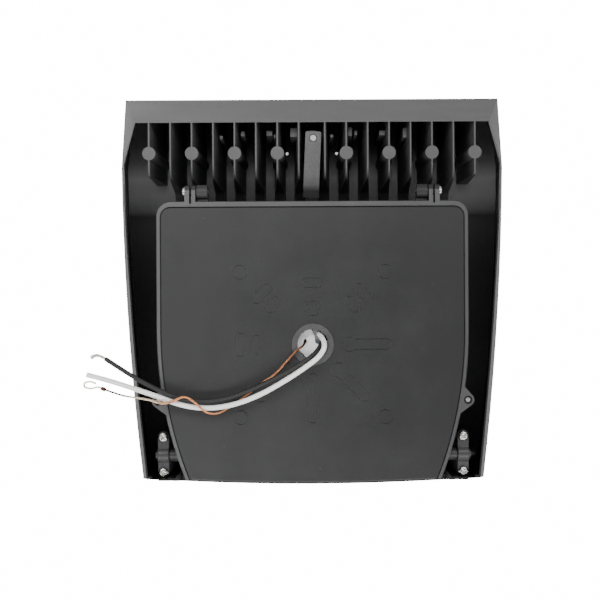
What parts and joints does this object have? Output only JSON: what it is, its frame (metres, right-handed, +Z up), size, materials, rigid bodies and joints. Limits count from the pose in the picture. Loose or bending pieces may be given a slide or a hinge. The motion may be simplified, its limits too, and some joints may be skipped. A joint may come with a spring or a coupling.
{
  "type": "led wall pack light",
  "caption": "Outdoor LED wall light: hinged driver box on a wall plate with a wiring hub, and a finned lamp head that tilts on two side pivots over a glazed light engine.",
  "frame": {"origin": "centre of the wiring hub, on the plane of the wall", "axes": "+Z up, -Y into the wall, +Y out of the front, +X to the right seen from behind the wall"},
  "size_m": [0.2738, 0.1079, 0.2672],
  "materials": {
    "black_powder_coat": "fine-textured black powder coat on cast aluminium",
    "grey_strip": "grey coated spring strip with a speckled surface",
    "zinc_steel": "zinc-plated steel",
    "black_steel": "blackened steel",
    "seal_rubber": "moulded silicone rubber",
    "white_nylon": "white nylon",
    "black_insulation": "black PVC insulation",
    "white_insulation": "white PVC insulation",
    "bare_copper": "bare soft copper strand",
    "tinned_strands": "stripped copper strands",
    "brown_crimp": "dull brown crimp sleeve",
    "brass_wire": "pale golden wire",
    "driver_case": "bright drawn aluminium case",
    "board_white": "white solder mask on an aluminium-core board",
    "led_yellow": "phosphor over the emitters",
    "clear_optic": "clear moulded acrylic",
    "front_glass": "clear toughened glass"
  },
  "bodies": {
    "wall_plate": {"wall_plate": "black_powder_coat", "plate_seal": "seal_rubber", "hub_ring": "black_powder_coat", "hinge_screws": "zinc_steel", "lead_black": "black_insulation", "black_strands": "tinned_strands", "lead_white": "white_insulation", "lead_copper": "bare_copper", "earth_crimp": "brown_crimp", "earth_loop": "brass_wire"},
    "driver_box": {"driver_box": "black_powder_coat", "cover_screws": "zinc_steel", "screw_retainers": "white_nylon", "pivot_pins": "black_steel", "pivot_nuts": "zinc_steel", "pivot_seals": "seal_rubber", "led_driver": "driver_case", "driver_screws": "zinc_steel", "earth_screw": "zinc_steel", "inner_black": "black_insulation", "inner_white": "white_insulation", "inner_earth": "bare_copper", "output_lead": "black_insulation"},
    "lamp_head": {"head_housing": "black_powder_coat", "pivot_caps": "black_powder_coat", "pivot_cap_screws": "zinc_steel", "led_board": "board_white", "led_board_screws": "zinc_steel", "leds": "led_yellow", "board_connector": "white_nylon", "lead_gland": "seal_rubber", "head_lead": "black_insulation", "optic_sheet": "clear_optic", "lens_seal": "seal_rubber", "front_lens": "front_glass", "bezel": "black_powder_coat", "bezel_screws": "zinc_steel", "keeper_rivet": "zinc_steel"},
    "keeper_strap": {"keeper_strap": "grey_strip"}
  },
  "joints": [
    {"name": "box_swing", "type": "hinge", "parent": "wall_plate", "child": "driver_box", "pos_m": [0, 0.0052, 0.0955], "axis": [1, 0, 0], "range_deg": [0, 90]},
    {"name": "head_tilt", "type": "hinge", "parent": "driver_box", "child": "lamp_head", "pos_m": [0, 0.028, -0.0722], "axis": [-1, 0, 0], "range_deg": [0, 90]},
    {"name": "strap_swivel", "type": "hinge", "parent": "lamp_head", "child": "keeper_strap", "pos_m": [0.0009, 0.0194, 0.131], "axis": [0, 1, 0], "range_deg": [-6, 5]}
  ]
}
